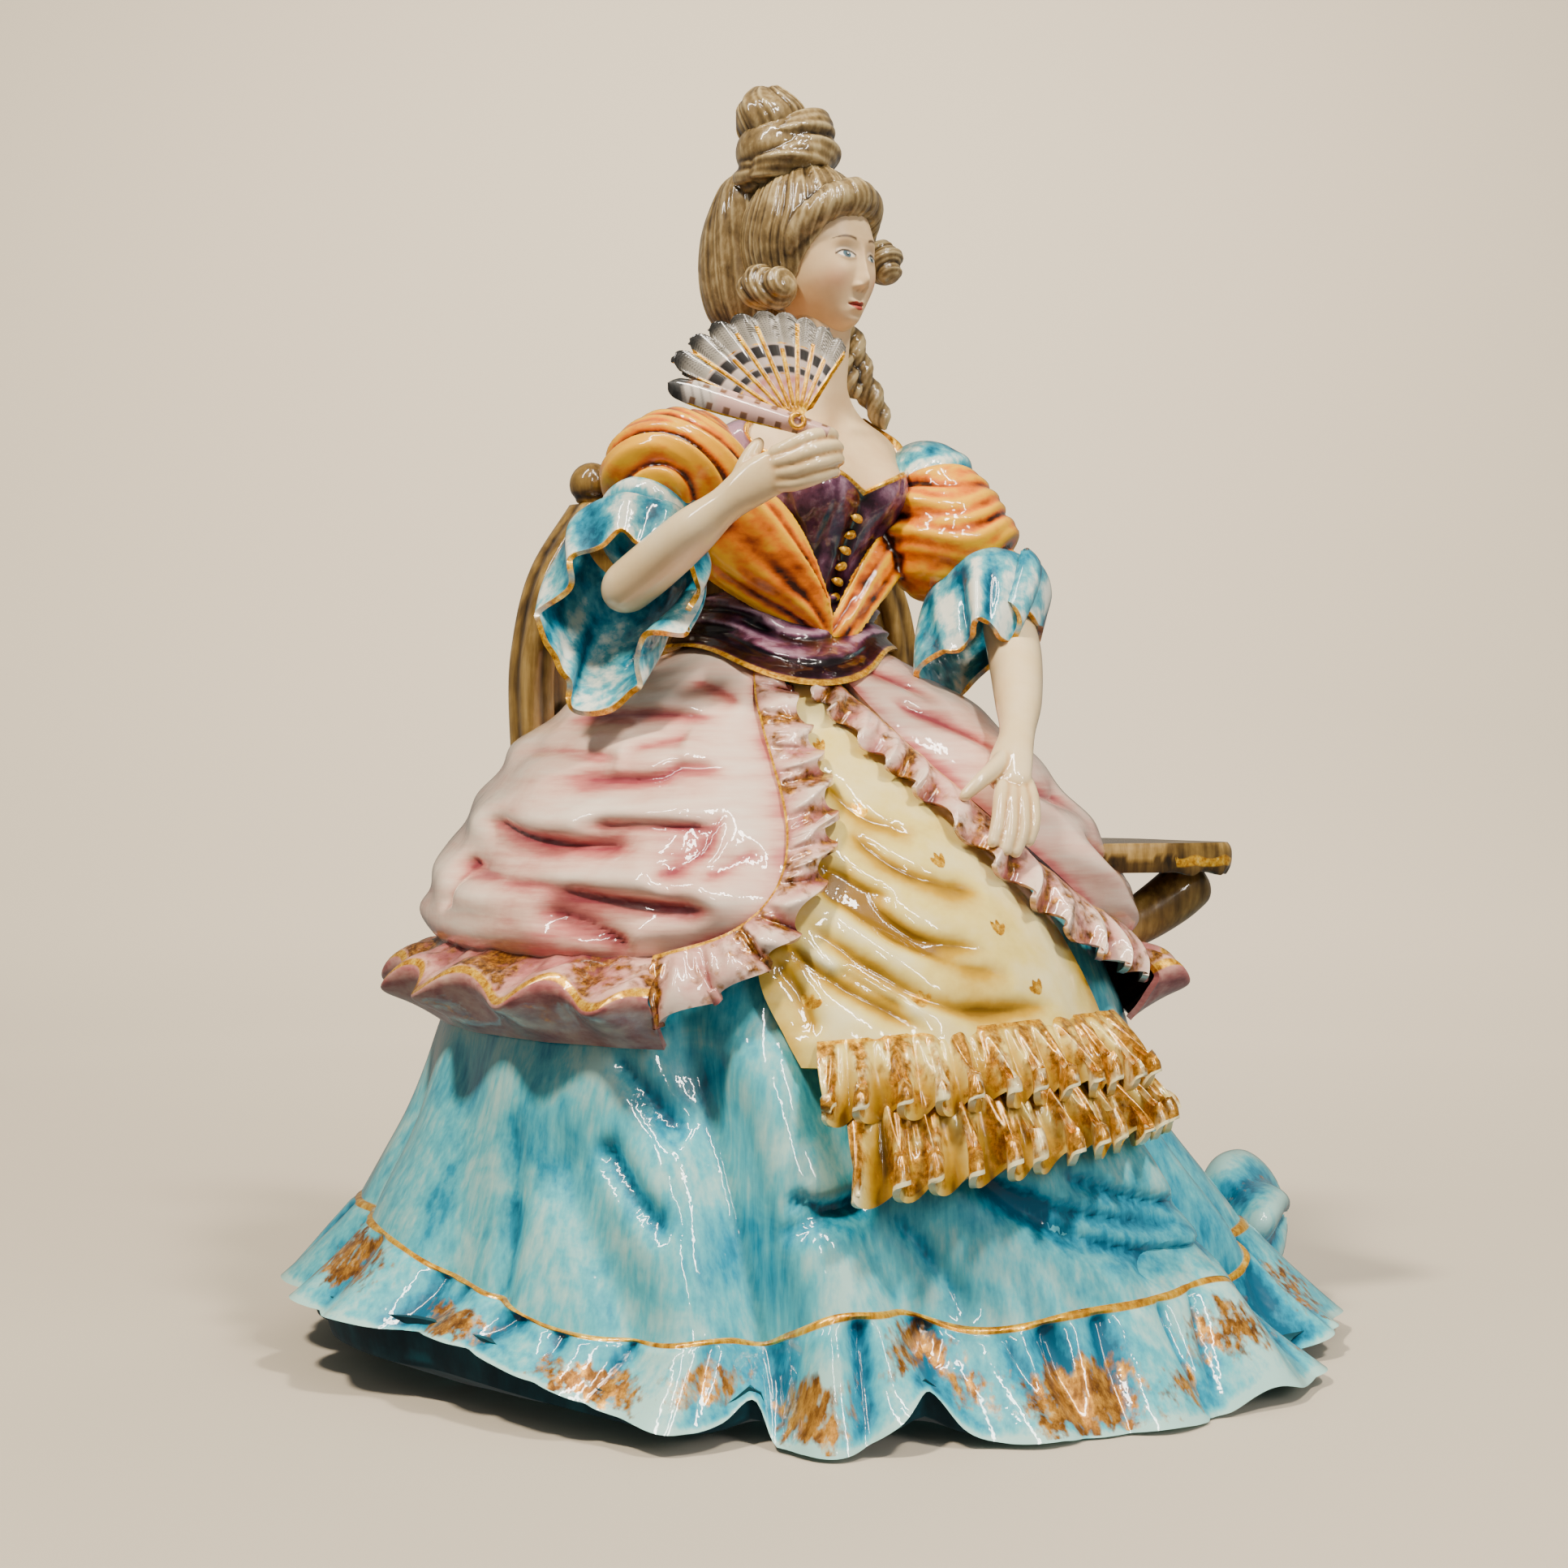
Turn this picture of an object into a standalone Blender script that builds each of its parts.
# Glazed earthenware lady seated on a chair with an open fan.
# Metres, +Z up, +X to the viewer's right, the origin on the resting face under the skirt's axis.
import math

import bmesh
import bpy
import numpy as np

ROD_SEAM = (0.31, -0.90, 0.20)  # direction from which the corners of round rods are counted
SEAM_GAP = 0.0003  # slip line between two pieces that are stuck together
BUTT_GAP = 0.0005  # the same between the rings of the skirt, which meet edge to edge
FLAT_ANGLE = math.radians(0.3)  # facets closer than this to one plane are joined
CAST_WALL = 0.005  # wall of the hollow skirt and of the base

# Skirt radius to the right, back, left and front of its axis at each height
SKIRT_HEIGHTS = (0.000, 0.030, 0.060, 0.090, 0.115, 0.140, 0.160, 0.175, 0.188)
SKIRT_RIGHT = (0.132, 0.115, 0.092, 0.081, 0.071, 0.058, 0.046, 0.034, 0.022)
SKIRT_BACK = (0.112, 0.098, 0.087, 0.077, 0.066, 0.054, 0.042, 0.032, 0.020)
SKIRT_LEFT = (0.136, 0.127, 0.111, 0.099, 0.090, 0.074, 0.057, 0.040, 0.022)
SKIRT_FRONT = (0.122, 0.113, 0.105, 0.096, 0.086, 0.070, 0.053, 0.038, 0.021)
LEAN = (-0.010, 0.010)  # shift of the waist from the hem's axis, right and back
LEAN_HEIGHTS = (0.090, 0.188)
YOKE_LOW = 0.100  # the casting's upper part, hidden under the panniers, starts here

# Hem: lift of its edge above the table, and the folds that run up from it
HEM_LOW = 0.0018
HEM_LEFT_LIFT = 0.0180
HEM_RIGHT_LIFT = 0.0065
HEM_LOBES = (  # degrees, half width in degrees, lift of the edge
    (262, 3.2, 0.0085),
    (281, 4.2, 0.0105),
    (321, 4.5, 0.0040),
)
FRONT_TURN = 274.0  # degrees where the casting's columns stand closest
FRONT_CROWDING = 20.0  # degrees by which they are drawn there
FOLD_WIDTH = 7.0  # degrees
FRONT_FOLDS = (  # degrees at the hem, degrees at the top, height of the top, depth
    (222, 203, 0.100, 0.0055),
    (250, 233, 0.080, 0.0045),
    (264, 248, 0.125, 0.0120),
    (283, 267, 0.125, 0.0075),
    (340, 325, 0.130, 0.0120),
    (351, 341, 0.110, 0.0055),
)
SIDE_FOLD_FIRST = 4.0
SIDE_FOLD_STEP = 24.0
SIDE_FOLD_COUNT = 9
SIDE_FOLD_TOP = 0.085
SIDE_FOLD_DEPTH = 0.0065

# Flounce below the seam line
FLOUNCE_HEIGHT = 0.027
FLOUNCE_LEFT_HEIGHT = 0.016
FLOUNCE_OUT = 0.0070
FLOUNCE_LIP = 0.0012  # step out at the seam line
FLOUNCE_FRILLS = 22
FLOUNCE_FRILL_DEPTH = 0.0012

# Base: the dark foot under the hem, open inside, with the vent of a slip casting
BASE_RISE = 0.004  # its rim above the edge of the hem
BASE_SHARE = 0.86  # ground outline as a share of the hem's radius
BASE_TUCK = 0.0064  # the rim stays this far inside the hem
VENT_RADIUS = 0.007
VENT_CENTRE = (0.0, 0.035)

# Apron over the front of the skirt: side edges as degrees at each height
APRON_HEIGHTS = (0.082, 0.088, 0.104, 0.122, 0.140, 0.160, 0.178)
APRON_LEFT = (267, 265, 261, 267, 270, 271, 272)
APRON_RIGHT = (318, 317, 313, 306, 296, 286, 280)
APRON_OUT = 0.0030
APRON_FOLD = 0.0018
APRON_FOLDS = 5
APRON_RUFFLES = (  # name, degrees, top height and drop at the left and right ends, reach
    ("apron_ruffle_upper", (267, 323), (0.087, 0.090), (0.015, 0.015), 0.0075),
    ("apron_ruffle_lower", (271, 326), (0.074, 0.078), (0.022, 0.013), 0.0070),
)
APRON_RUFFLE_WAVES = 9
APRON_RUFFLE_DEPTH = 0.0022

# Panniers: the drawn-up overskirt on her right (viewer's left) and left
PANNIER_HEIGHTS = (0.108, 0.115, 0.128, 0.145, 0.164, 0.178, 0.188)
PANNIER_OUT = (0.0075, 0.0135, 0.0160, 0.0155, 0.0125, 0.0065, 0.0020)
PANNIER_RIGHT_FRONT = (252, 262, 266, 267, 264, 260, 257)  # degrees at each height
PANNIER_LEFT_FRONT = (339, 330, 318, 306, 296, 290, 284)
PANNIER_BACK = (96, 456)  # degrees where the two meet behind
PANNIER_SWAGS = 3.5
PANNIER_SWAG_DEPTH = 0.0016

# Ruffles on the panniers' edges: degrees and heights of the sewn and the free edge
RIGHT_SEWN_TURN = (258, 264, 267, 265, 258, 248)
RIGHT_SEWN_HEIGHT = (0.184, 0.160, 0.140, 0.124, 0.113, 0.107)
RIGHT_FREE_TURN = (272, 275, 276, 272, 262, 247)
RIGHT_FREE_HEIGHT = (0.180, 0.160, 0.145, 0.126, 0.104, 0.091)
LEFT_SEWN_TURN = (280, 293, 302, 313, 326, 346)
LEFT_SEWN_HEIGHT = (0.184, 0.165, 0.150, 0.131, 0.117, 0.110)
LEFT_FREE_TURN = (274, 287, 297, 308, 322, 345)
LEFT_FREE_HEIGHT = (0.180, 0.158, 0.142, 0.120, 0.104, 0.095)
RUFFLE_ROOT = 0.0020  # how far the sewn edge stands off the skirt
RUFFLE_SWAY = 1.2  # degrees by which its waves swing sideways
RUFFLE_FADE = 0.030  # below the waist, the ruffles reach their full swell over this height
FRONT_RUFFLE_OUT = 0.0095
FRONT_RUFFLE_WAVES = 7
FRONT_RUFFLE_DEPTH = 0.0018
WING_HEIGHTS = (0.107, 0.102, 0.096, 0.084)  # section of the ruffle round the sides and back
WING_OUT = (0.0030, 0.0120, 0.0160, 0.0080)
WING_RIGHT_ENDS = (247, 97)  # degrees
WING_LEFT_ENDS = (345, 455)
WING_WAVES = 6
WING_DEPTH = 0.0022

# Train: the gathered lump of the skirt behind her left side
TRAIN_TURN = 15.7  # degrees
TRAIN_RISE = 0.81  # share of the seam's height
TRAIN_OUT = 0.0084
TRAIN_SIZE = (0.013, 0.030, 0.017)

# Body: side, front and back radius at each height, turned to her front
BODY_YAW = 38.0  # degrees, from facing the viewer towards the viewer's right
BODY_HEIGHTS = (0.188, 0.196, 0.210, 0.224, 0.236, 0.243, 0.248, 0.254, 0.262, 0.272)
BODY_SIDE = (0.0170, 0.0180, 0.0215, 0.0255, 0.0290, 0.0270, 0.0165, 0.0098, 0.0082, 0.0080)
BODY_FRONT = (0.0150, 0.0160, 0.0185, 0.0205, 0.0170, 0.0125, 0.0100, 0.0090, 0.0084, 0.0082)
BODY_BACK = (0.0140, 0.0140, 0.0160, 0.0180, 0.0170, 0.0145, 0.0120, 0.0098, 0.0086, 0.0084)
BODY_AXIS_HEIGHTS = (0.188, 0.245, 0.272)
BODY_AXIS_X = (-0.008, -0.002, 0.001)
BODY_AXIS_Y = (0.008, 0.008, 0.004)
BUST_SIDE = 0.0125
BUST_HEIGHT = 0.227
BUST_SIZE = 0.0095
BUST_OUT = 0.0062
BODICE_OUT = 0.0020
NECKLINE_TURNS = (0, 35, 58, 75, 110, 180)  # degrees round from her front
NECKLINE_HEIGHTS = (0.227, 0.2335, 0.238, 0.244, 0.244, 0.241)
SASH_TOP = 0.198
SASH_LOW = 0.184
SASH_OUT = (0.0085, 0.0060, 0.0040, -0.0005)  # from the lower edge up
SASH_THICK = 0.0085
SASH_DIP = 0.012
SASH_POINT = 281.0  # degrees where the lower edge dips to a point
SASH_POINT_WIDTH = 32.0

# Arms: shoulder, elbow and wrist; then the hands' joints
RIGHT_SHOULDER = (-0.0340, -0.0130, 0.2340)
RIGHT_ELBOW = (-0.0540, -0.0430, 0.1930)
RIGHT_WRIST = (-0.0230, -0.0620, 0.2165)
LEFT_SHOULDER = (0.0260, 0.0220, 0.2390)
LEFT_ELBOW = (0.0510, 0.0020, 0.1940)
LEFT_WRIST = (0.0500, -0.0420, 0.1600)
SLEEVE_RADII = (0.0110, 0.0135, 0.0140, 0.0125)
SLEEVE_END = 0.80  # share of the way from the shoulder to the elbow
FOREARM_RADII = (0.0070, 0.0072, 0.0062, 0.0049)
FINGER_RADIUS = 0.0025
THUMB_RADIUS = 0.0027
RIGHT_PALM = (-0.0130, -0.0650, 0.2235)
RIGHT_KNUCKLES = ((-0.0060, 0.2300), (-0.0045, 0.2268), (-0.0050, 0.2228), (-0.0080, 0.2188))
RIGHT_TIPS = ((0.0056, 0.2325), (0.0068, 0.2280), (0.0052, 0.2222), (-0.0010, 0.2165))
RIGHT_HAND_DEPTH = (-0.0665, -0.0590)  # back to front place of the knuckles and of the tips
RIGHT_THUMB = ((-0.0190, -0.0620, 0.2210), (-0.0175, -0.0620, 0.2265), (-0.0148, -0.0600, 0.2318))
LEFT_PALM = (0.0465, -0.0530, 0.1505)
LEFT_KNUCKLES = ((0.0440, 0.1445), (0.0468, 0.1425), (0.0494, 0.1420), (0.0520, 0.1435))
LEFT_TIPS = ((0.0412, 0.1314), (0.0443, 0.1294), (0.0466, 0.1289), (0.0503, 0.1315))
LEFT_HAND_DEPTH = (-0.0585, -0.0665)
HAND_GRAIN = 0.0007  # cell of the mesh that joins arm, palm and fingers
HAND_THINNING = 0.0140  # share of its triangles kept
LEFT_THUMB = ((0.0445, -0.0520, 0.1515), (0.0400, -0.0570, 0.1480), (0.0326, -0.0620, 0.1420))

# Cuffs: from the sleeve's end to the middle of the rim
CUFF_RIGHT_START = (-0.0500, -0.0320, 0.2050)
CUFF_RIGHT_RIM = (-0.0520, -0.0520, 0.1890)
CUFF_LEFT_START = (0.0490, 0.0050, 0.2020)
CUFF_LEFT_RIM = (0.0460, -0.0100, 0.1820)
CUFF_NECK = 0.0150
CUFF_RIM_RADIUS = 0.0215
CUFF_WALL = 0.0026
CUFF_WAVES = 6
CUFF_WAVE_DEPTH = 0.0030

# Stole: a wrap round each upper arm, a strip down to the waist and one across the back
WRAP_RIGHT = ((-0.0290, -0.0060, 0.2440), (-0.0345, -0.0140, 0.2330), (-0.0393, -0.0212, 0.2231),
              (-0.0442, -0.0284, 0.2130))
WRAP_RIGHT_RADII = (0.0120, 0.0178, 0.0198, 0.0178)
STRIP_RIGHT = ((-0.0330, -0.0260, 0.2230), (-0.0192, -0.0190, 0.2109), (-0.0103, -0.0165, 0.2016),
               (-0.0029, -0.0150, 0.1932), (0.0030, -0.0140, 0.1850))
STRIP_RIGHT_WIDTH = (0.0290, 0.0270, 0.0210, 0.0130, 0.0060)
STOLE_BACK = ((-0.0360, 0.0000, 0.2360), (-0.0300, 0.0190, 0.2340), (-0.0130, 0.0340, 0.2300),
              (0.0090, 0.0385, 0.2280), (0.0260, 0.0330, 0.2290))
STOLE_BACK_WIDTH = (0.0240, 0.0260, 0.0270, 0.0260, 0.0220)
WRAP_LEFT = ((0.0315, 0.0160, 0.2340), (0.0340, 0.0110, 0.2235), (0.0370, 0.0065, 0.2110),
             (0.0405, 0.0010, 0.1970))
WRAP_LEFT_RADII = (0.0100, 0.0152, 0.0178, 0.0168)
STRIP_LEFT = ((0.0260, 0.0140, 0.2200), (0.0180, -0.0010, 0.2070), (0.0120, -0.0080, 0.1975),
              (0.0065, -0.0125, 0.1885), (0.0040, -0.0140, 0.1845))
STRIP_LEFT_WIDTH = (0.0130, 0.0120, 0.0100, 0.0080, 0.0050)
STOLE_THICK = 0.0100
STOLE_TILT = 0.15  # the strips' outer faces look up a little, as the tangent of the angle
STOLE_GRAIN = 0.0009  # cell of the mesh that joins wrap and strips
STOLE_THINNING = 0.0072  # share of its triangles kept

# Head and hair, turned to the face's front
HEAD_YAW = 45.0  # degrees, as for the body
HEAD_PLACE = (0.0015, 0.0025, 0.2890)
HEAD_SIDE = 0.0125
HEAD_DEPTH = 0.0155
HEAD_UP = 0.0195
CAP_PLACE = (-0.0035, 0.0075, 0.2965)
CAP_SIZE = (0.0175, 0.0190, 0.0215)
FACE_OPENING = (0.0, 0.0135, -0.0165)  # her left, forward and up from the cap's middle
FACE_OPENING_SIZE = (0.0132, 0.0150, 0.0235)
CHIGNON_PLACE = (-0.0170, 0.0200, 0.2870)
CHIGNON_SIZE = (0.0125, 0.0135, 0.0210)
TOPKNOT_LOWER = (-0.0105, 0.0085, 0.3215)
TOPKNOT_LOWER_SIZE = (0.0150, 0.0150, 0.0075)
TOPKNOT_UPPER = (-0.0145, 0.0085, 0.3315)
TOPKNOT_UPPER_SIZE = (0.0098, 0.0098, 0.0085)
HAIR_RIDGES = 9
HAIR_RIDGE_DEPTH = 0.05  # share of the radius
CURLS = (  # name, place, size
    ("curl_right", (-0.0115, -0.0090, 0.2790), (0.0052, 0.0052, 0.0070)),
    ("curl_left", (0.0180, 0.0080, 0.2890), (0.0048, 0.0048, 0.0070)),
)
RINGLET_LINE = (
    (0.0030, 0.0135, 0.2720), (0.0120, 0.0145, 0.2610), (0.0180, 0.0150, 0.2490), (0.0200, 0.0140, 0.2420),
)
RINGLET_RADII = (0.0040, 0.0042, 0.0036, 0.0022)

# Fan: leaf from the pivot, in a plane that leans back
FAN_PIVOT = (-0.0045, -0.0640, 0.2330)
FAN_REACH = (0.0260, 0.0290, 0.0310, 0.0320, 0.0330)  # from the viewer's right to the left
FAN_INNER = 0.0040
FAN_SPREAD = (60.0, 153.0)  # degrees from the viewer's right
FAN_LEAN = 14.0
FAN_PLEATS = 9
FAN_PLEAT_DEPTH = 0.0009
FAN_SCALLOP = 0.0014
FAN_THICK = 0.0024
GUARD_ANGLE = 161.0
GUARD_ENDS = (-0.0060, 0.0332)
GUARD_WIDTH = 0.0055
GUARD_THICK = 0.0036

# Chair: the back frame behind her, the seat that shows on her left and its bracket
CHAIR_YAW = 38.0  # degrees, as for the body
CHAIR_MIDDLE = (-0.0260, 0.0460)
STILE_HEIGHTS = (0.122, 0.150, 0.184, 0.208, 0.225)
STILE_OFFSETS = (0.066, 0.066, 0.066, 0.059, 0.047)
STILE_WIDTH = 0.010
STILE_DEPTH = 0.012
FINIAL_RADIUS = 0.0062
PANEL_THICK = 0.005
PANEL_TOP = 0.219
RAIL_HEIGHT = 0.010
SEAT_TOP = 0.131
SEAT_THICK = 0.008
SEAT_TURN = (-14, 66)  # degrees round the skirt
SEAT_ROOT = 0.006  # depth of its inner edge in the pannier
SEAT_EDGE = ((0.096, -0.004), (0.113, 0.008), (0.103, 0.032), (0.088, 0.058), (0.052, 0.076))
BRACKET_LINE = ((0.104, 0.020, 0.122), (0.096, 0.015, 0.115), (0.084, 0.010, 0.107), (0.070, 0.004, 0.103))
BRACKET_RADII = (0.0075, 0.0070, 0.0062, 0.0055)

GLAZES = {  # base colour (linear), roughness
    "turquoise": ((0.10, 0.45, 0.52), 0.12),
    "dark_teal": ((0.02, 0.09, 0.11), 0.18),
    "rose": ((0.74, 0.50, 0.45), 0.12),
    "cream": ((0.80, 0.68, 0.38), 0.12),
    "amber": ((0.55, 0.21, 0.02), 0.14),
    "aubergine": ((0.10, 0.035, 0.045), 0.16),
    "flesh": ((0.72, 0.55, 0.38), 0.22),
    "taupe": ((0.24, 0.16, 0.09), 0.18),
    "slate_rose": ((0.60, 0.42, 0.38), 0.15),
    "olive": ((0.13, 0.10, 0.05), 0.22),
}


# Smooth curves

def spline(x, knots, values):
    # Cubic curve through the knots; each slope is taken from the knot's neighbours
    x = np.asarray(x, float)
    knots = np.asarray(knots, float)
    values = np.asarray(values, float)
    slopes = np.gradient(values, knots, axis=0)
    i = np.clip(np.searchsorted(knots, x) - 1, 0, len(knots) - 2)
    step = knots[i + 1] - knots[i]
    t = np.clip((x - knots[i]) / step, 0, 1)
    if values.ndim > 1:
        t = t[..., None]
        step = step[..., None]
    rise = t * t * (3 - 2 * t)
    start = values[i] * (1 - rise) + slopes[i] * step * t * (1 - t) ** 2
    return start + values[i + 1] * rise - slopes[i + 1] * step * t * t * (1 - t)


def along(t, values):
    return spline(t, np.linspace(0, 1, len(values)), values)


def smooth(x, low, high):
    t = np.clip((np.asarray(x, float) - low) / (high - low), 0, 1)
    return t * t * (3 - 2 * t)


def turn(a, b):
    # Signed difference of two angles in degrees
    return (np.asarray(a, float) - b + 180) % 360 - 180


def pack(x, y, z):
    return np.stack(np.broadcast_arrays(x, y, z), axis=-1)


# The skirt's field, which every garment on it follows

def skirt_radius(angle, z):
    c = np.cos(np.radians(angle))
    s = np.sin(np.radians(angle))
    sides = np.stack([SKIRT_RIGHT, SKIRT_BACK, SKIRT_LEFT, SKIRT_FRONT], axis=-1)
    radii = spline(z, SKIRT_HEIGHTS, sides)
    shares = np.clip(np.stack([c, s, -c, -s], axis=-1), 0, 1) ** 2
    return (radii * shares).sum(axis=-1)


def all_folds():
    sides = []
    for n in range(SIDE_FOLD_COUNT):
        angle = SIDE_FOLD_FIRST + n * SIDE_FOLD_STEP
        sides.append((angle, angle, SIDE_FOLD_TOP, SIDE_FOLD_DEPTH))
    return FRONT_FOLDS + tuple(sides)


def fold_depth(angle, z):
    depth = np.zeros(np.broadcast(angle, z).shape)
    for hem_angle, top_angle, top, deep in all_folds():
        rise = np.clip(z / top, 0, 1)
        middle = hem_angle + (top_angle - hem_angle) * rise
        groove = np.exp(-(turn(angle, middle) / FOLD_WIDTH) ** 2)
        depth += deep * groove * (1 - smooth(z, 0.45 * top, top * 1.1))
    return depth


def on_skirt(angle, z, out, folds=1.0):
    lean = smooth(z, *LEAN_HEIGHTS)
    r = skirt_radius(angle, z) + out - folds * fold_depth(angle, z)
    a = np.radians(angle)
    return pack(LEAN[0] * lean + r * np.cos(a), LEAN[1] * lean + r * np.sin(a), z)


def hem_sweep(angle):
    left = smooth(turn(angle, 205), -95, -30) * (1 - smooth(turn(angle, 205), 27, 59))
    right = np.exp(-(turn(angle, 350) / 20) ** 2)
    return HEM_LOW + (HEM_LEFT_LIFT - HEM_LOW) * left + (HEM_RIGHT_LIFT - HEM_LOW) * right


def hem_height(angle):
    height = hem_sweep(angle)
    for middle, half, lift in HEM_LOBES:
        height = height + lift * np.exp(-(turn(angle, middle) / half) ** 2)
    return height


def seam_height(angle):
    left = smooth(turn(angle, 215), -60, -20) * (1 - smooth(turn(angle, 215), 25, 60))
    return hem_sweep(angle) + FLOUNCE_HEIGHT + (FLOUNCE_LEFT_HEIGHT - FLOUNCE_HEIGHT) * left


def crowded(u):
    # Degrees for an even step u round the skirt, with more of them in front
    away = 2 * math.pi * (u - FRONT_TURN / 360)
    return 360 * u - FRONT_CROWDING * np.sin(away)


# Mesh makers: a grid or an open tube in parameters u and v, thickened in w, then shaped

def coordinates(bm):
    return np.array([v.co for v in bm.verts])


def finish(name, bm, points):
    for vertex, point in zip(bm.verts, points):
        vertex.co = point
    bmesh.ops.triangulate(bm, faces=bm.faces[:])
    bmesh.ops.recalc_face_normals(bm, faces=bm.faces[:])
    if bm.calc_volume(signed=True) < 0:
        bmesh.ops.reverse_faces(bm, faces=bm.faces[:])
    mesh = bpy.data.meshes.new(name)
    bm.to_mesh(mesh)
    bm.free()
    piece = bpy.data.objects.new(name, mesh)
    FIGURE.objects.link(piece)
    return piece


def thicken(bm, move):
    grown = bmesh.ops.extrude_face_region(bm, geom=bm.faces[:])["geom"]
    for vertex in grown:
        if isinstance(vertex, bmesh.types.BMVert):
            vertex.co = move(vertex.co)


def open_tube(columns, rows):
    bm = bmesh.new()
    bmesh.ops.create_cone(bm, cap_ends=False, segments=columns, radius1=1, radius2=1, depth=1)
    upright = [e for e in bm.edges if abs(e.verts[0].co.z - e.verts[1].co.z) > 0.5]
    if rows > 1:
        bmesh.ops.subdivide_edges(bm, edges=upright, cuts=rows - 1, use_grid_fill=True)
    return bm


def around(points):
    return np.arctan2(points[:, 1], points[:, 0]) / (2 * math.pi) % 1.0


def slab(name, columns, rows, shape):
    # A sheet with two faces: w is 0 on the inner and 1 on the outer one
    bm = bmesh.new()
    bmesh.ops.create_grid(bm, x_segments=columns, y_segments=rows, size=0.5)
    thicken(bm, lambda co: (co.x, co.y, 1.0))
    p = coordinates(bm)
    return finish(name, bm, shape(p[:, 0] + 0.5, p[:, 1] + 0.5, p[:, 2]))


def band(name, columns, rows, shape):
    # A closed ring with two faces
    bm = open_tube(columns, rows)
    thicken(bm, lambda co: (co.x * 2, co.y * 2, co.z))
    p = coordinates(bm)
    return finish(name, bm, shape(around(p), p[:, 2] + 0.5, np.hypot(p[:, 0], p[:, 1]) - 1))


def tube(name, columns, rows, shape):
    # A solid tube with closed ends
    bm = open_tube(columns, rows)
    bmesh.ops.holes_fill(bm, edges=[e for e in bm.edges if e.is_boundary], sides=0)
    p = coordinates(bm)
    return finish(name, bm, shape(around(p), p[:, 2] + 0.5))


def ball(name, columns, rows, shape):
    bm = bmesh.new()
    bmesh.ops.create_uvsphere(bm, u_segments=columns, v_segments=rows, radius=1.0)
    return finish(name, bm, shape(coordinates(bm)))


def loft(line, widths, thicks, outward):
    # Shape of an elliptical tube along a line; outward gives the thin side's direction
    def shape(u, v):
        middle = along(v, line)
        ahead = along(np.clip(v + 0.01, 0, 1), line) - along(np.clip(v - 0.01, 0, 1), line)
        ahead /= np.linalg.norm(ahead, axis=1)[:, None]
        side = np.cross(ahead, outward(middle))
        side /= np.linalg.norm(side, axis=1)[:, None]
        thin = np.cross(side, ahead)
        a = 2 * math.pi * u
        wide = along(v, widths) / 2 * np.cos(a)
        deep = along(v, thicks) / 2 * np.sin(a)
        return middle + side * wide[:, None] + thin * deep[:, None]
    return shape


def rod(name, line, radii, columns=8, rows=8):
    diameters = 2 * np.array(radii)

    def forward(points):
        return np.array(ROD_SEAM) + 0 * points
    return tube(name, columns, rows, loft(line, diameters, diameters, forward))


# Fitting: each piece is cut by swollen copies of the earlier ones, which leaves the seam gap

def baked(piece):
    graph = bpy.context.evaluated_depsgraph_get()
    mesh = bpy.data.meshes.new_from_object(piece.evaluated_get(graph))
    piece.modifiers.clear()
    old = piece.data
    piece.data = mesh
    bpy.data.meshes.remove(old)


def box(piece):
    p = np.array([v.co for v in piece.data.vertices])
    return p.min(axis=0), p.max(axis=0)


def swollen(other):
    bm = bmesh.new()
    bm.from_mesh(other.data)
    bm.normal_update()
    moves = [v.normal * SEAM_GAP * min(v.calc_shell_factor(), 2.0) for v in bm.verts]
    for vertex, move in zip(bm.verts, moves):
        vertex.co += move
    mesh = bpy.data.meshes.new("cutter")
    bm.to_mesh(mesh)
    bm.free()
    cutter = bpy.data.objects.new("cutter", mesh)
    cutter.hide_render = True
    cutter.display_type = "WIRE"
    CUTTERS.objects.link(cutter)
    return cutter


def island_volume(faces):
    total = 0.0
    for face in faces:
        corners = [v.co for v in face.verts]
        for b, c in zip(corners[1:], corners[2:]):
            total += corners[0].dot(b.cross(c)) / 6
    return total


def keep_largest(piece):
    bm = bmesh.new()
    bm.from_mesh(piece.data)
    bmesh.ops.dissolve_limit(bm, angle_limit=FLAT_ANGLE, verts=bm.verts[:], edges=bm.edges[:])
    bmesh.ops.triangulate(bm, faces=bm.faces[:])
    left = set(bm.faces)
    islands = []
    while left:
        island = set()
        queue = [left.pop()]
        while queue:
            face = queue.pop()
            island.add(face)
            for edge in face.edges:
                for near in edge.link_faces:
                    if near in left:
                        left.discard(near)
                        queue.append(near)
        islands.append(island)
    islands.sort(key=island_volume)
    for island in islands[:-1]:
        bmesh.ops.delete(bm, geom=list(island), context="FACES")
    bm.to_mesh(piece.data)
    bm.free()


def seat(piece):
    low, high = box(piece)
    own_cutter = swollen(piece)
    for cutter in CUTTERS.objects:
        other_low, other_high = box(cutter)
        if cutter == own_cutter or (low > other_high).any() or (high < other_low).any():
            continue
        cut = piece.modifiers.new("seat", "BOOLEAN")
        cut.operation = "DIFFERENCE"
        cut.solver = "MANIFOLD"  # the exact solver loses the sash and other draped shells
        cut.object = cutter
        bpy.context.view_layer.update()
        baked(piece)
    keep_largest(piece)


def glaze(piece, name):
    colour, rough = GLAZES[name]
    material = bpy.data.materials.new(piece.name + "_" + name)
    material.use_nodes = True
    surface = material.node_tree.nodes["Principled BSDF"]
    surface.inputs["Base Color"].default_value = (*colour, 1.0)
    surface.inputs["Roughness"].default_value = rough
    piece.data.materials.clear()
    piece.data.materials.append(material)
    piece.data.shade_smooth()
    piece.data.set_sharp_from_angle(angle=math.radians(50))


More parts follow.
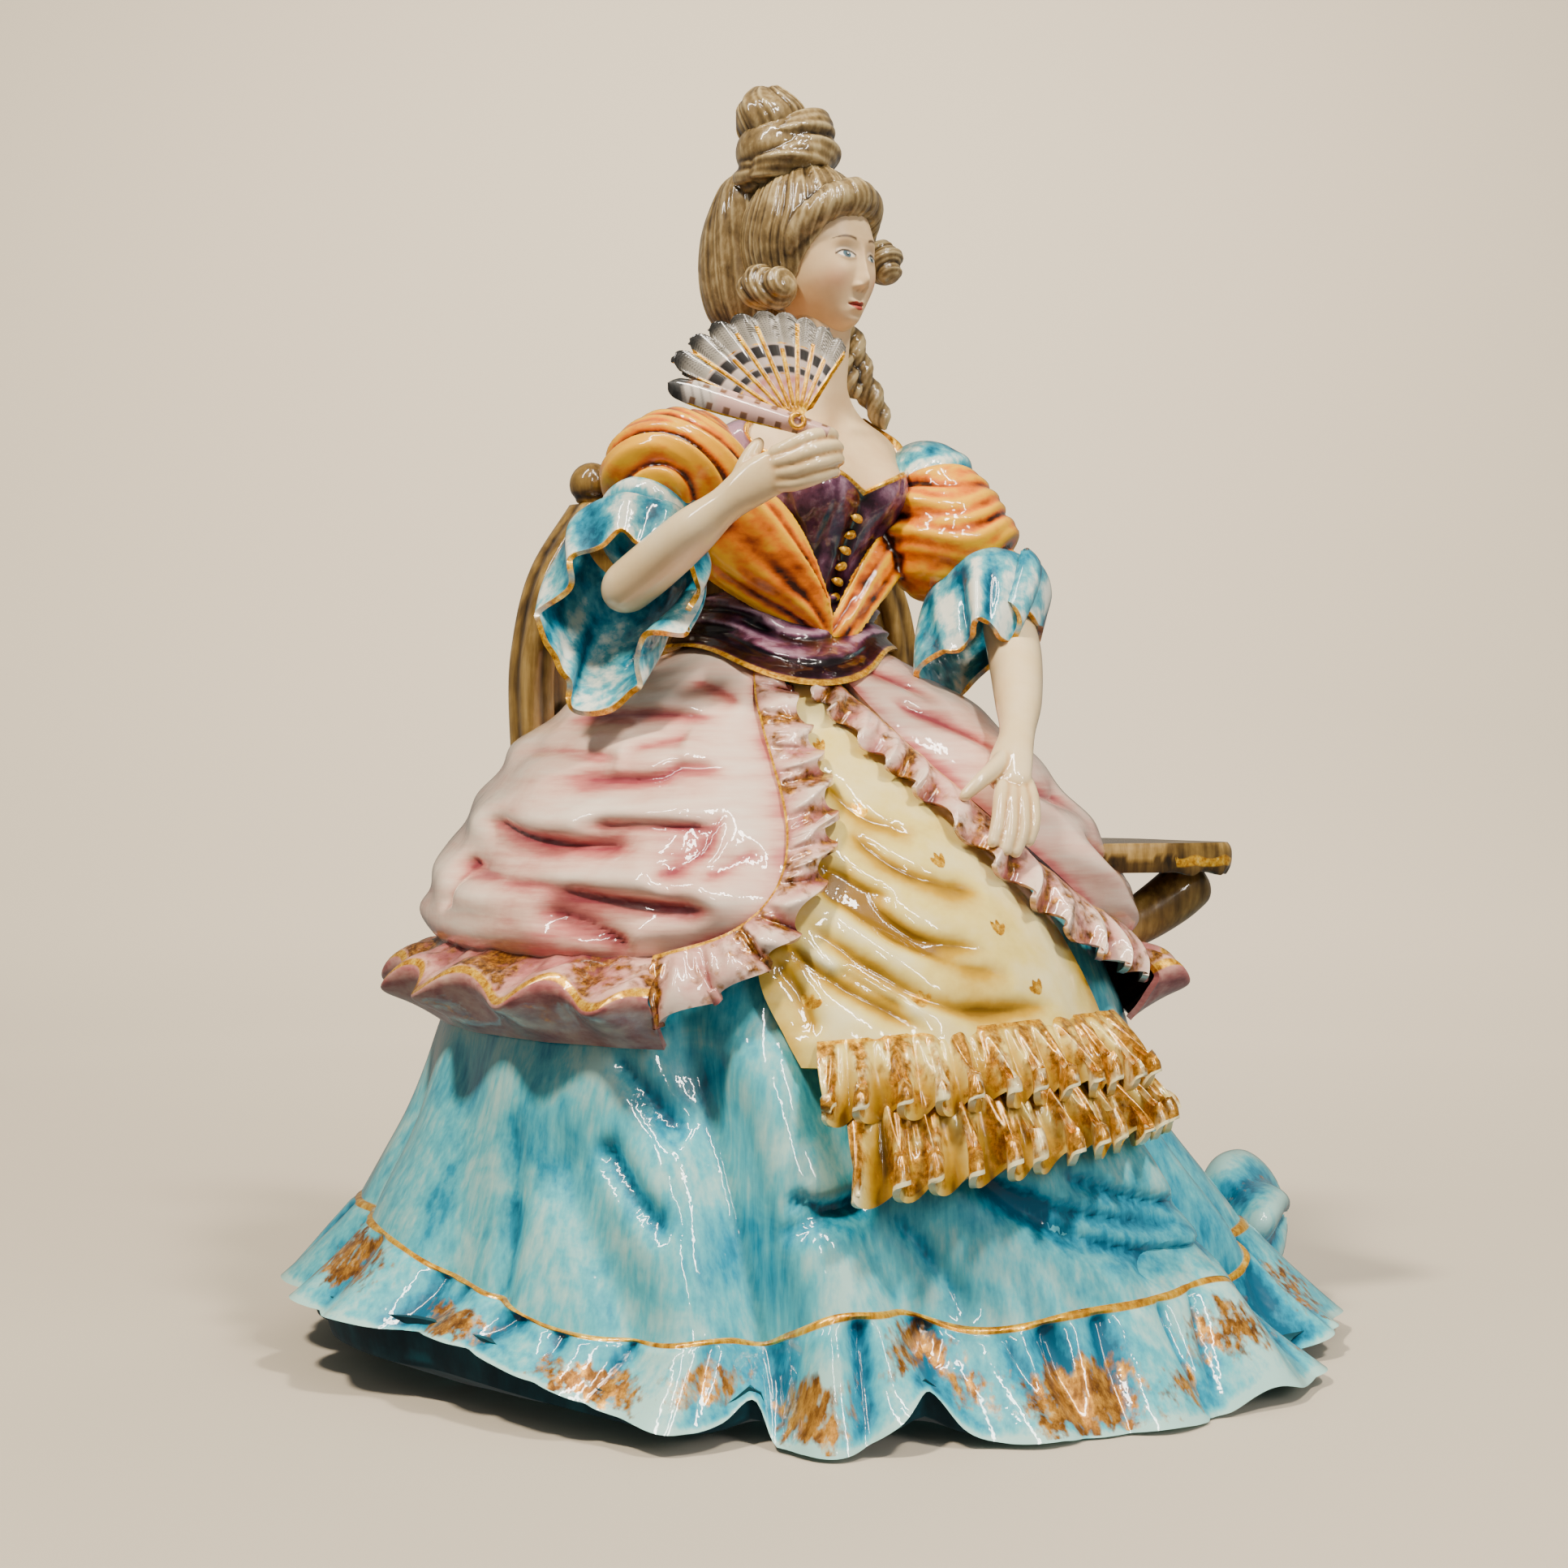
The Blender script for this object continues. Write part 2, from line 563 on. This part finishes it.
def fuse(name, pieces, grain, ratio):
    # One body from overlapping pieces of clay, smoothed and thinned out
    bm = bmesh.new()
    for piece in pieces:
        bm.from_mesh(piece.data)
        mesh = piece.data
        bpy.data.objects.remove(piece)
        bpy.data.meshes.remove(mesh)
    body = finish(name, bm, coordinates(bm))
    remesh = body.modifiers.new("fuse", "REMESH")
    remesh.mode = "VOXEL"
    remesh.voxel_size = grain
    soften = body.modifiers.new("soften", "SMOOTH")
    soften.factor = 0.5
    soften.iterations = 4
    thin_out = body.modifiers.new("thin_out", "DECIMATE")
    thin_out.ratio = ratio
    baked(body)
    return body


# Dress

def skirt_wall(name, columns, rows, low, high, out, folds_inside):
    # A stretch of the hollow casting between two heights, each given for every angle
    def shape(u, v, w):
        angle = crowded(u)
        start = low(angle)
        z = start + (high(angle) - start) * v
        outer = on_skirt(angle, z, out(u, v))
        inner = on_skirt(angle, z, np.minimum(out(u, v), 0) - CAST_WALL, folds_inside)
        return np.where(w[:, None] > 0.5, outer, inner)
    return band(name, columns, rows, shape)


def level(height):
    return lambda angle: height + 0 * angle


def plain(u, v):
    return 0 * u


def skirt():
    def low(angle):
        return seam_height(angle) + BUTT_GAP
    return skirt_wall("skirt", 62, 3, low, level(YOKE_LOW), plain, 0.9)


def skirt_yoke():
    return skirt_wall("skirt_yoke", 22, 4, level(YOKE_LOW + BUTT_GAP), level(SKIRT_HEIGHTS[-1]), plain, 0.9)


def hem_flounce():
    def flare(u, v):
        frill = FLOUNCE_FRILL_DEPTH * np.sin(2 * math.pi * FLOUNCE_FRILLS * u)
        return (FLOUNCE_OUT + frill) * (1 - v) ** 1.5 + FLOUNCE_LIP * smooth(1 - v, 0, 0.2)
    return skirt_wall("hem_flounce", 3 * FLOUNCE_FRILLS, 2, hem_height, seam_height, flare, 0.9)


def base_dish():
    def shape(u, v, w):
        angle = crowded(u)
        a = np.radians(angle)
        hem = hem_height(angle)
        rim = on_skirt(angle, hem + BASE_RISE, -BASE_TUCK)
        ground = on_skirt(angle, 0 * angle, -BASE_TUCK, folds=0.5) * BASE_SHARE
        vent = pack(VENT_CENTRE[0] + VENT_RADIUS * np.cos(a), VENT_CENTRE[1] + VENT_RADIUS * np.sin(a), 0 * a)
        floor = np.clip(v / 0.5, 0, 1)[:, None]
        wall = np.clip((v - 0.5) / 0.5, 0, 1)[:, None]
        outer = (vent * (1 - floor) + ground * floor) * (1 - wall) + rim * wall
        shrink = 1 - CAST_WALL / np.hypot(ground[:, 0], ground[:, 1])[:, None] * floor
        inner = outer * shrink
        inner[:, 2] = outer[:, 2] + CAST_WALL * (1 - smooth(v, 0.6, 1))
        return np.where(w[:, None] > 0.5, inner, outer)
    return band("base_dish", 32, 2, shape)


def apron():
    def shape(u, v, w):
        z = APRON_HEIGHTS[0] + (APRON_HEIGHTS[-1] - APRON_HEIGHTS[0]) * v
        left = spline(z, APRON_HEIGHTS, APRON_LEFT)
        right = spline(z, APRON_HEIGHTS, APRON_RIGHT)
        angle = left + (right - left) * u
        belly = np.sin(math.pi * u)
        swag = APRON_FOLD * belly * np.sin(2 * math.pi * APRON_FOLDS * (v + 0.10 * belly))
        out = APRON_OUT + swag * smooth(v, 0, 0.15) * (1 - smooth(v, 0.7, 0.95)) + 0.002 * belly * (1 - v)
        return on_skirt(angle, z, np.where(w > 0.5, out, -0.002))
    return slab("apron", 6, 10, shape)


def apron_ruffle(name, ends, top, drop, reach):
    def shape(u, v, w):
        angle = ends[0] + (ends[1] - ends[0]) * u
        start = top[0] + (top[1] - top[0]) * u
        fall = drop[0] + (drop[1] - drop[0]) * u
        wave = np.sin(2 * math.pi * APRON_RUFFLE_WAVES * u)
        z = start - fall * v + 0.0012 * wave * v
        out = APRON_OUT + reach * np.sin(math.pi * (0.15 + 0.55 * v)) + APRON_RUFFLE_DEPTH * wave * v
        return on_skirt(angle, z, np.where(w > 0.5, out, -0.002))
    return slab(name, 3 * APRON_RUFFLE_WAVES, 2, shape)


def pannier(name, front, back):
    def shape(u, v, w):
        z = PANNIER_HEIGHTS[0] + (PANNIER_HEIGHTS[-1] - PANNIER_HEIGHTS[0]) * v
        edge = spline(z, PANNIER_HEIGHTS, front)
        angle = edge + (back - edge) * u
        puff = spline(z, PANNIER_HEIGHTS, PANNIER_OUT)
        swag = PANNIER_SWAG_DEPTH * np.sin(2 * math.pi * PANNIER_SWAGS * v + 3 * u)
        rim = smooth(u, -0.02, 0.12) * smooth(1 - u, -0.02, 0.06)
        out = 0.002 + (puff + swag * smooth(v, 0, 0.2) * (1 - smooth(v, 0.75, 0.95))) * (0.35 + 0.65 * rim)
        return on_skirt(angle, z, np.where(w > 0.5, out, -0.002))
    return slab(name, 9, 7, shape)


def front_ruffle(name, sewn_turn, sewn_height, free_turn, free_height):
    waist = SKIRT_HEIGHTS[-1] + RUFFLE_ROOT

    def shape(u, v, w):
        angle = along(u, sewn_turn) * (1 - v) + along(u, free_turn) * v
        z = along(u, sewn_height) * (1 - v) + along(u, free_height) * v
        wave = np.sin(2 * math.pi * FRONT_RUFFLE_WAVES * u)
        swell = FRONT_RUFFLE_OUT * (0.45 + 0.55 * np.sin(math.pi * (0.2 + 0.6 * v)))
        out = swell * smooth(waist - z, 0, RUFFLE_FADE) + RUFFLE_ROOT + FRONT_RUFFLE_DEPTH * wave * v
        return on_skirt(angle + RUFFLE_SWAY * wave * v, z, np.where(w > 0.5, out, -RUFFLE_ROOT))
    return slab(name, 3 * FRONT_RUFFLE_WAVES, 2, shape)


def side_ruffle(name, ends):
    def shape(u, v, w):
        angle = ends[0] + (ends[1] - ends[0]) * u
        wave = np.sin(2 * math.pi * WING_WAVES * u)
        z = along(v, WING_HEIGHTS) + 0.0020 * wave * v
        out = along(v, WING_OUT) + WING_DEPTH * wave * smooth(v, 0, 0.6)
        return on_skirt(angle, z, np.where(w > 0.5, out, -0.002))
    return slab(name, 3 * WING_WAVES, 2, shape)


def train_fold():
    middle = on_skirt(TRAIN_TURN, TRAIN_RISE * seam_height(TRAIN_TURN), TRAIN_OUT, folds=0.0)

    def shape(p):
        lump = 1 + 0.10 * np.cos(3 * np.arctan2(p[:, 2], p[:, 1]))
        return middle + p * lump[:, None] * TRAIN_SIZE
    return ball("train_fold", 10, 6, shape)


# Body

def facing(yaw):
    # Her left and her front as seen from above
    a = math.radians(yaw)
    return np.array([math.cos(a), math.sin(a), 0]), np.array([math.sin(a), -math.cos(a), 0])


def on_body(phi, z, out):
    # phi is 0 on her left and 90 degrees in front
    left, front = facing(BODY_YAW)
    c = np.cos(np.radians(phi))
    s = np.sin(np.radians(phi))
    wide = spline(z, BODY_HEIGHTS, BODY_SIDE) + out
    fore = spline(z, BODY_HEIGHTS, BODY_FRONT) + out
    aft = spline(z, BODY_HEIGHTS, BODY_BACK) + out
    side = wide * c
    depth = np.where(s > 0, fore, aft) * s
    for mirror in (-1, 1):
        near = ((side - mirror * BUST_SIDE) ** 2 + (z - BUST_HEIGHT) ** 2) / BUST_SIZE ** 2
        depth = depth + BUST_OUT * np.exp(-near) * smooth(s, 0, 0.5)
    middle = pack(
        spline(z, BODY_AXIS_HEIGHTS, BODY_AXIS_X), spline(z, BODY_AXIS_HEIGHTS, BODY_AXIS_Y), z)
    return middle + left * side[:, None] + front * depth[:, None]


def bust_core():
    def shape(u, v):
        low = BODY_HEIGHTS[0] + BUTT_GAP
        return on_body(360 * u, low + (BODY_HEIGHTS[-1] - low) * v, 0.0)
    return tube("bust_core", 16, 12, shape)


def bodice():
    def shape(u, v, w):
        phi = 360 * u
        top = spline(np.abs(turn(phi, 90)), NECKLINE_TURNS, NECKLINE_HEIGHTS)
        low = BODY_HEIGHTS[0] + BUTT_GAP
        z = low + (top - low) * v
        return on_body(phi, z, np.where(w > 0.5, BODICE_OUT, -0.003))
    return band("bodice", 16, 5, shape)


def waist_sash():
    def shape(u, v, w):
        angle = 360 * u
        low = SASH_LOW - SASH_DIP * np.exp(-(turn(angle, SASH_POINT) / SASH_POINT_WIDTH) ** 2)
        z = low + (SASH_TOP - low) * v
        out = along(v, SASH_OUT)
        on_field = np.minimum(z, SKIRT_HEIGHTS[-1])
        place = on_skirt(angle, on_field, np.where(w > 0.5, out, out - SASH_THICK))
        place[:, 2] = z
        return place
    return band("waist_sash", 18, 2, shape)


def sleeve(name, shoulder, elbow):
    start = np.array(shoulder)
    end = np.array(elbow)
    line = [start + (end - start) * SLEEVE_END * share for share in (0, 0.36, 0.70, 1)]
    return rod(name, line, SLEEVE_RADII, columns=10, rows=5)


def cuff(name, start, rim):
    axis = np.array(rim) - np.array(start)
    length = np.linalg.norm(axis)
    axis = axis / length
    across = np.cross(axis, (0, 0, 1.0))
    across /= np.linalg.norm(across)
    up = np.cross(across, axis)

    def shape(u, v, w):
        a = 2 * math.pi * u
        wave = np.sin(CUFF_WAVES * a) + 0.5 * np.sin(2 * a + 1.0)
        r = CUFF_NECK + (CUFF_RIM_RADIUS - CUFF_NECK) * v ** 1.3 + CUFF_WAVE_DEPTH * wave * v ** 2
        r = np.where(w > 0.5, r, r - CUFF_WALL)
        reach = length * v + 0.002 * wave * v ** 2
        ring = across * (r * np.cos(a))[:, None] + up * (r * np.sin(a))[:, None]
        return np.array(start) + axis * reach[:, None] + ring
    return band(name, 18, 2, shape)


def forearm(name, elbow, wrist, palm, knuckles, tips, depth, thumb):
    elbow = np.array(elbow)
    wrist = np.array(wrist)
    palm = np.array(palm)
    arm_line = (elbow, elbow + (wrist - elbow) * 0.35, elbow + (wrist - elbow) * 0.75, wrist, palm)
    pieces = [rod("arm", arm_line, FOREARM_RADII + (0.0042,), columns=12, rows=12)]
    for knuckle, tip in zip(knuckles, tips):
        root = np.array((knuckle[0], depth[0], knuckle[1]))
        end = np.array((tip[0], depth[1], tip[1]))
        bend = root + (end - root) * 0.5 + np.array((0, -0.0015, 0))
        r = FINGER_RADIUS
        pieces.append(rod("finger", (palm, root, bend, end), (r * 1.3, r * 1.15, r, r * 0.7), rows=10))
    thumb_line = (wrist + (palm - wrist) * 0.3, *thumb)
    r = THUMB_RADIUS
    pieces.append(rod("thumb", thumb_line, (r * 1.3, r * 1.2, r, r * 0.7), rows=10))
    return fuse(name, pieces, HAND_GRAIN, HAND_THINNING)


# Stole

def shawl(name, wrap, wrap_radii, strips):
    def outward(points):
        away = points - np.array((BODY_AXIS_X[1], BODY_AXIS_Y[1], 0))
        away[:, 2] = STOLE_TILT * np.hypot(away[:, 0], away[:, 1])
        return away
    pieces = [rod("wrap", wrap, wrap_radii, 16, 8)]
    for line, widths in strips:
        thicks = [min(STOLE_THICK, width) for width in widths]
        pieces.append(tube("strip", 14, 10, loft(line, widths, thicks, outward)))
    return fuse(name, pieces, STOLE_GRAIN, STOLE_THINNING)


# Head and hair

def head():
    left, front = facing(HEAD_YAW)

    def shape(p):
        side = p[:, 0] * HEAD_SIDE
        fore = p[:, 1] * HEAD_DEPTH
        up = p[:, 2] * HEAD_UP
        jaw = smooth(-p[:, 2], 0.15, 1.0)
        side = side * (1 - 0.38 * jaw)
        fore = fore * (1 - 0.18 * jaw) + 0.0035 * jaw * smooth(p[:, 1], -0.2, 0.6)
        nose = np.exp(-(side / 0.0028) ** 2 - ((up + 0.0035) / 0.0042) ** 2) * smooth(p[:, 1], 0.3, 0.9)
        fore = fore + 0.0036 * nose
        return np.array(HEAD_PLACE) + left * side[:, None] + front * fore[:, None] + pack(0, 0, up)
    return ball("head", 16, 10, shape)


def lock(name, place, size, ridges, twist, columns, rows):
    # A rounded mass of hair with ridges that wind round it
    left, front = facing(HEAD_YAW)

    def shape(p):
        a = np.arctan2(p[:, 1], p[:, 0])
        ridge = 1 + HAIR_RIDGE_DEPTH * np.cos(ridges * a + twist * p[:, 2]) * (1 - p[:, 2] ** 2)
        q = p * ridge[:, None] * size
        return np.array(place) + left * q[:, :1] + front * q[:, 1:2] + pack(0, 0, q[:, 2])
    return ball(name, columns, rows, shape)


def hair_cap():
    left, front = facing(HEAD_YAW)
    cap = lock("hair_cap", CAP_PLACE, CAP_SIZE, HAIR_RIDGES, 2.0, 14, 8)
    q = np.array(FACE_OPENING)
    middle = np.array(CAP_PLACE) + left * q[0] + front * q[1] + np.array((0, 0, q[2]))

    def opening(p):
        s = p * FACE_OPENING_SIZE
        return middle + left * s[:, :1] + front * s[:, 1:2] + pack(0, 0, s[:, 2])
    cutter = ball("face_opening", 12, 6, opening)
    cut = cap.modifiers.new("face", "BOOLEAN")
    cut.operation = "DIFFERENCE"
    cut.solver = "EXACT"
    cut.object = cutter
    bpy.context.view_layer.update()
    baked(cap)
    mesh = cutter.data
    bpy.data.objects.remove(cutter)
    bpy.data.meshes.remove(mesh)
    return cap


# Fan

def on_fan(angle, r, out):
    a = np.radians(angle)
    lean = math.radians(FAN_LEAN)
    right = r * np.cos(a)
    up = r * np.sin(a)
    x = FAN_PIVOT[0] + right
    y = FAN_PIVOT[1] + up * math.sin(lean) - out * math.cos(lean)
    return pack(x, y, FAN_PIVOT[2] + up * math.cos(lean) + out * math.sin(lean))


def fan_leaf():
    def shape(u, v, w):
        angle = FAN_SPREAD[0] + (FAN_SPREAD[1] - FAN_SPREAD[0]) * u
        fold = np.abs((u * FAN_PLEATS) % 1.0 - 0.5) * 2
        reach = along(u, FAN_REACH)
        r = FAN_INNER + (reach - FAN_INNER) * v - FAN_SCALLOP * fold ** 2 * smooth(v, 0.8, 1)
        out = FAN_PLEAT_DEPTH * (1 - fold) * v + np.where(w > 0.5, FAN_THICK / 2, -FAN_THICK / 2)
        return on_fan(angle, r, out)
    return slab("fan_leaf", 3 * FAN_PLEATS, 2, shape)


def fan_guard():
    def shape(u, v, w):
        r = GUARD_ENDS[0] + (GUARD_ENDS[1] - GUARD_ENDS[0]) * v
        away = (u - 0.5) * GUARD_WIDTH * (0.55 + 0.45 * v)
        base = on_fan(GUARD_ANGLE + 0 * r, r, np.where(w > 0.5, GUARD_THICK, -GUARD_THICK / 2))
        return base + on_fan(GUARD_ANGLE + 90 + 0 * r, away, 0 * r) - np.array(FAN_PIVOT)
    return slab("fan_guard", 2, 6, shape)


# Chair

def chair_place(side, depth):
    left, front = facing(CHAIR_YAW)
    across = left * np.asarray(side)[..., None]
    return np.array((*CHAIR_MIDDLE, 0)) + across - front * np.asarray(depth)[..., None]


def chair_stile(name, mirror):
    def shape(u, v):
        z = STILE_HEIGHTS[0] + (STILE_HEIGHTS[-1] - STILE_HEIGHTS[0]) * v
        a = 2 * math.pi * u + math.pi / 8
        corner = 1 / np.maximum(np.abs(np.cos(a)), np.abs(np.sin(a))) ** 0.7
        side = mirror * spline(z, STILE_HEIGHTS, STILE_OFFSETS) + STILE_WIDTH / 2 * corner * np.cos(a)
        return chair_place(side, STILE_DEPTH / 2 * corner * np.sin(a)) + pack(0, 0, z)
    return tube(name, 8, 6, shape)


def finial(name, mirror):
    place = chair_place(mirror * STILE_OFFSETS[-1], 0.0)
    centre = place + np.array((0, 0, STILE_HEIGHTS[-1] + FINIAL_RADIUS * 0.9))
    return ball(name, 10, 6, lambda p: centre + p * FINIAL_RADIUS)


def chair_panel(name, low, high, thick):
    def shape(u, v, w):
        z = low + (high - low) * v
        reach = spline(z, STILE_HEIGHTS, STILE_OFFSETS)
        return chair_place((u * 2 - 1) * reach, (w - 0.5) * thick) + pack(0, 0, z)
    return slab(name, 2, 4, shape)


def chair_seat():
    # The part of the seat that shows, from inside the left pannier to its outer edge
    def shape(u, v, w):
        angle = SEAT_TURN[0] + (SEAT_TURN[1] - SEAT_TURN[0]) * u
        z = SEAT_TOP - SEAT_THICK * (1 - w)
        inner = on_skirt(angle, z, SEAT_ROOT)
        edge = along(u, SEAT_EDGE)
        outer = pack(edge[:, 0], edge[:, 1], z)
        return inner + (outer - inner) * v[:, None]
    return slab("chair_seat", 10, 3, shape)


def make():
    right_strips = [(STRIP_RIGHT, STRIP_RIGHT_WIDTH), (STOLE_BACK, STOLE_BACK_WIDTH)]
    left_strips = [(STRIP_LEFT, STRIP_LEFT_WIDTH)]
    pieces = [
        (skirt(), "turquoise"),
        (skirt_yoke(), "turquoise"),
        (hem_flounce(), "turquoise"),
        (base_dish(), "dark_teal"),
        (bust_core(), "flesh"),
        (bodice(), "aubergine"),
        (waist_sash(), "aubergine"),
        (sleeve("sleeve_right", RIGHT_SHOULDER, RIGHT_ELBOW), "turquoise"),
        (sleeve("sleeve_left", LEFT_SHOULDER, LEFT_ELBOW), "turquoise"),
        (forearm("forearm_right", RIGHT_ELBOW, RIGHT_WRIST, RIGHT_PALM, RIGHT_KNUCKLES, RIGHT_TIPS,
                 RIGHT_HAND_DEPTH, RIGHT_THUMB), "flesh"),
        (forearm("forearm_left", LEFT_ELBOW, LEFT_WRIST, LEFT_PALM, LEFT_KNUCKLES, LEFT_TIPS,
                 LEFT_HAND_DEPTH, LEFT_THUMB), "flesh"),
        (cuff("cuff_right", CUFF_RIGHT_START, CUFF_RIGHT_RIM), "turquoise"),
        (cuff("cuff_left", CUFF_LEFT_START, CUFF_LEFT_RIM), "turquoise"),
        (shawl("shawl_right", WRAP_RIGHT, WRAP_RIGHT_RADII, right_strips), "amber"),
        (shawl("shawl_left", WRAP_LEFT, WRAP_LEFT_RADII, left_strips), "amber"),
        (head(), "flesh"),
        (hair_cap(), "taupe"),
        (lock("chignon", CHIGNON_PLACE, CHIGNON_SIZE, 5, 3.0, 10, 6), "taupe"),
        (lock("topknot_lower", TOPKNOT_LOWER, TOPKNOT_LOWER_SIZE, 6, 4.0, 12, 5), "taupe"),
        (lock("topknot_upper", TOPKNOT_UPPER, TOPKNOT_UPPER_SIZE, 5, 3.0, 10, 5), "taupe"),
    ]
    for name, place, size in CURLS:
        pieces.append((lock(name, place, size, 4, 4.0, 8, 6), "taupe"))
    pieces += [
        (rod("ringlet", RINGLET_LINE, RINGLET_RADII, 6, 6), "taupe"),
        (fan_guard(), "slate_rose"),
        (fan_leaf(), "slate_rose"),
        (apron(), "cream"),
        (pannier("pannier_right", PANNIER_RIGHT_FRONT, PANNIER_BACK[0]), "rose"),
        (pannier("pannier_left", PANNIER_LEFT_FRONT, PANNIER_BACK[1]), "rose"),
        (front_ruffle("ruffle_right_front", RIGHT_SEWN_TURN, RIGHT_SEWN_HEIGHT, RIGHT_FREE_TURN,
                      RIGHT_FREE_HEIGHT), "rose"),
        (front_ruffle("ruffle_left_front", LEFT_SEWN_TURN, LEFT_SEWN_HEIGHT, LEFT_FREE_TURN,
                      LEFT_FREE_HEIGHT), "rose"),
        (side_ruffle("ruffle_right_side", WING_RIGHT_ENDS), "rose"),
        (side_ruffle("ruffle_left_side", WING_LEFT_ENDS), "rose"),
    ]
    for ruffle in APRON_RUFFLES:
        pieces.append((apron_ruffle(*ruffle), "cream"))
    pieces += [
        (train_fold(), "turquoise"),
        (chair_stile("chair_stile_right", -1), "olive"),
        (chair_stile("chair_stile_left", 1), "olive"),
        (finial("finial_right", -1), "olive"),
        (finial("finial_left", 1), "olive"),
        (chair_panel("chair_back", STILE_HEIGHTS[1], PANEL_TOP, PANEL_THICK), "olive"),
        (chair_panel("chair_top_rail", PANEL_TOP + SEAM_GAP, PANEL_TOP + RAIL_HEIGHT, STILE_DEPTH), "olive"),
        (chair_seat(), "olive"),
        (rod("chair_bracket", BRACKET_LINE, BRACKET_RADII), "olive"),
    ]
    for piece, colour in pieces:
        seat(piece)
        glaze(piece, colour)
        print(piece.name, len(piece.data.polygons), "triangles")


for old in list(bpy.data.objects):
    bpy.data.objects.remove(old)
FIGURE = bpy.data.collections.new("ceramic_lady_figurine")
CUTTERS = bpy.data.collections.new("cutters")
bpy.context.scene.collection.children.link(FIGURE)
bpy.context.scene.collection.children.link(CUTTERS)
make()
for cutter in list(CUTTERS.objects):
    bpy.data.objects.remove(cutter)
